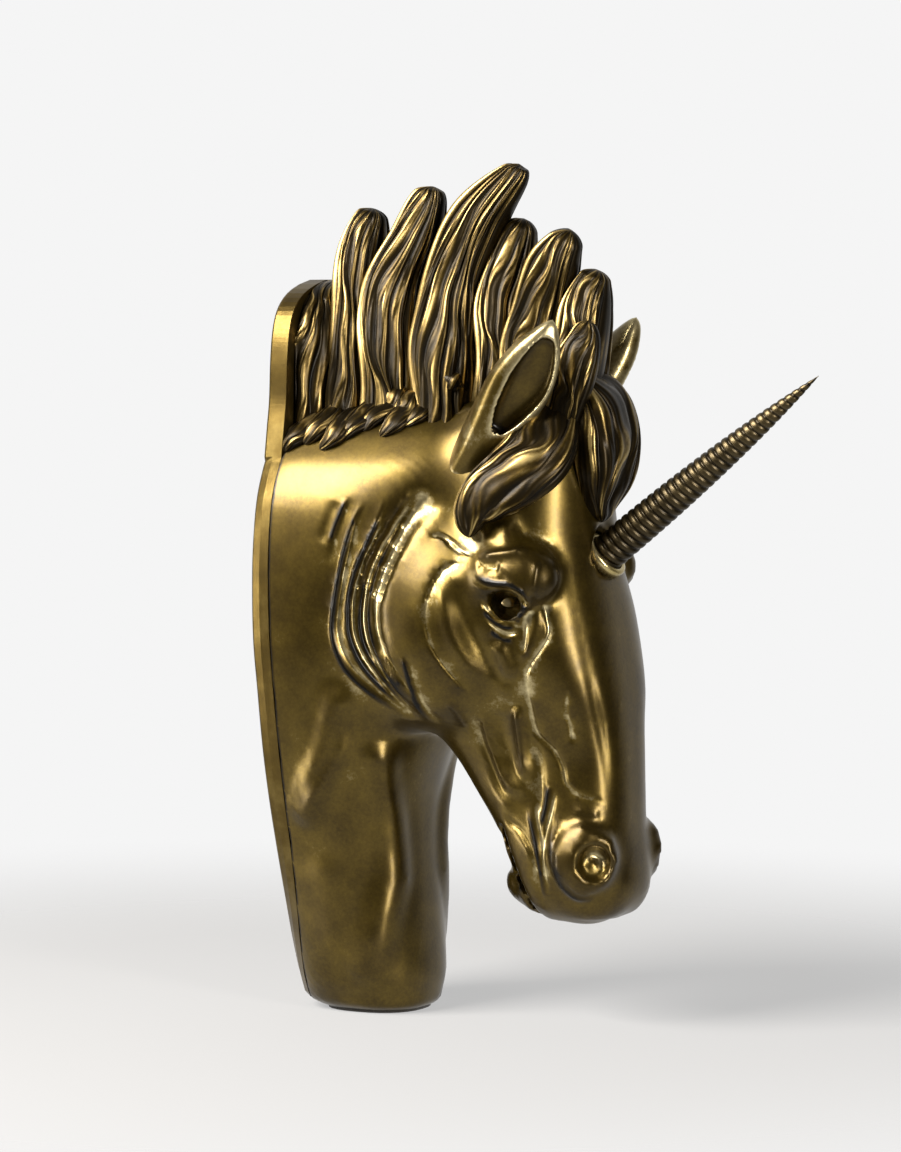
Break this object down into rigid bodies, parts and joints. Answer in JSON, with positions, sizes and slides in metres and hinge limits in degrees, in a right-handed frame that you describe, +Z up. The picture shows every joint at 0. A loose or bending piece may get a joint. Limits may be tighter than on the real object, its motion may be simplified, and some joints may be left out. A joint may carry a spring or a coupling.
{
  "type": "unicorn head bust",
  "caption": "Hollow unicorn head and neck bust on a rounded weighted foot, with a flat back board, cast mane locks and a lift-out spiral horn.",
  "frame": {"origin": "centre of the foot, on the underside of its felt pad", "axes": "+X is the way the face and horn point, +Y is the animal's left side, +Z is up"},
  "size_m": [0.3176, 0.148, 0.4859],
  "materials": {
    "bronze_casting": "satin",
    "bronze_hair": "satin",
    "eye": "gloss",
    "horn": "satin",
    "socket_brass": "satin",
    "steel": "satin",
    "ballast_iron": "matte",
    "board": "satin",
    "felt": "matte"
  },
  "bodies": {
    "bust": {"head_and_neck": "bronze_casting", "back_board": "board", "ear_right": "bronze_casting", "ear_left": "bronze_casting", "forelock_right": "bronze_hair", "forelock_left": "bronze_hair", "forelock_middle": "bronze_hair", "mane_lock_1": "bronze_hair", "mane_lock_2": "bronze_hair", "mane_lock_3": "bronze_hair", "mane_lock_4": "bronze_hair", "mane_lock_5": "bronze_hair", "mane_lock_6": "bronze_hair", "mane_lock_7": "bronze_hair", "mane_lock_8": "bronze_hair", "eye_left": "eye", "eye_right": "eye", "horn_socket": "socket_brass", "ballast_block": "ballast_iron", "foot_felt": "felt", "board_screw_1": "steel", "board_screw_2": "steel", "board_screw_3": "steel", "board_screw_4": "steel", "board_screw_5": "steel", "board_screw_6": "steel", "hanger_plate": "steel", "hanger_screw_1": "steel", "hanger_screw_2": "steel"},
    "horn": {"horn": "horn", "horn_dowel": "steel"}
  },
  "joints": [
    {"name": "horn_pull", "type": "slide", "parent": "bust", "child": "horn", "axis": [0.7859, 0, 0.6184], "range_m": [0, 0.03]}
  ]
}
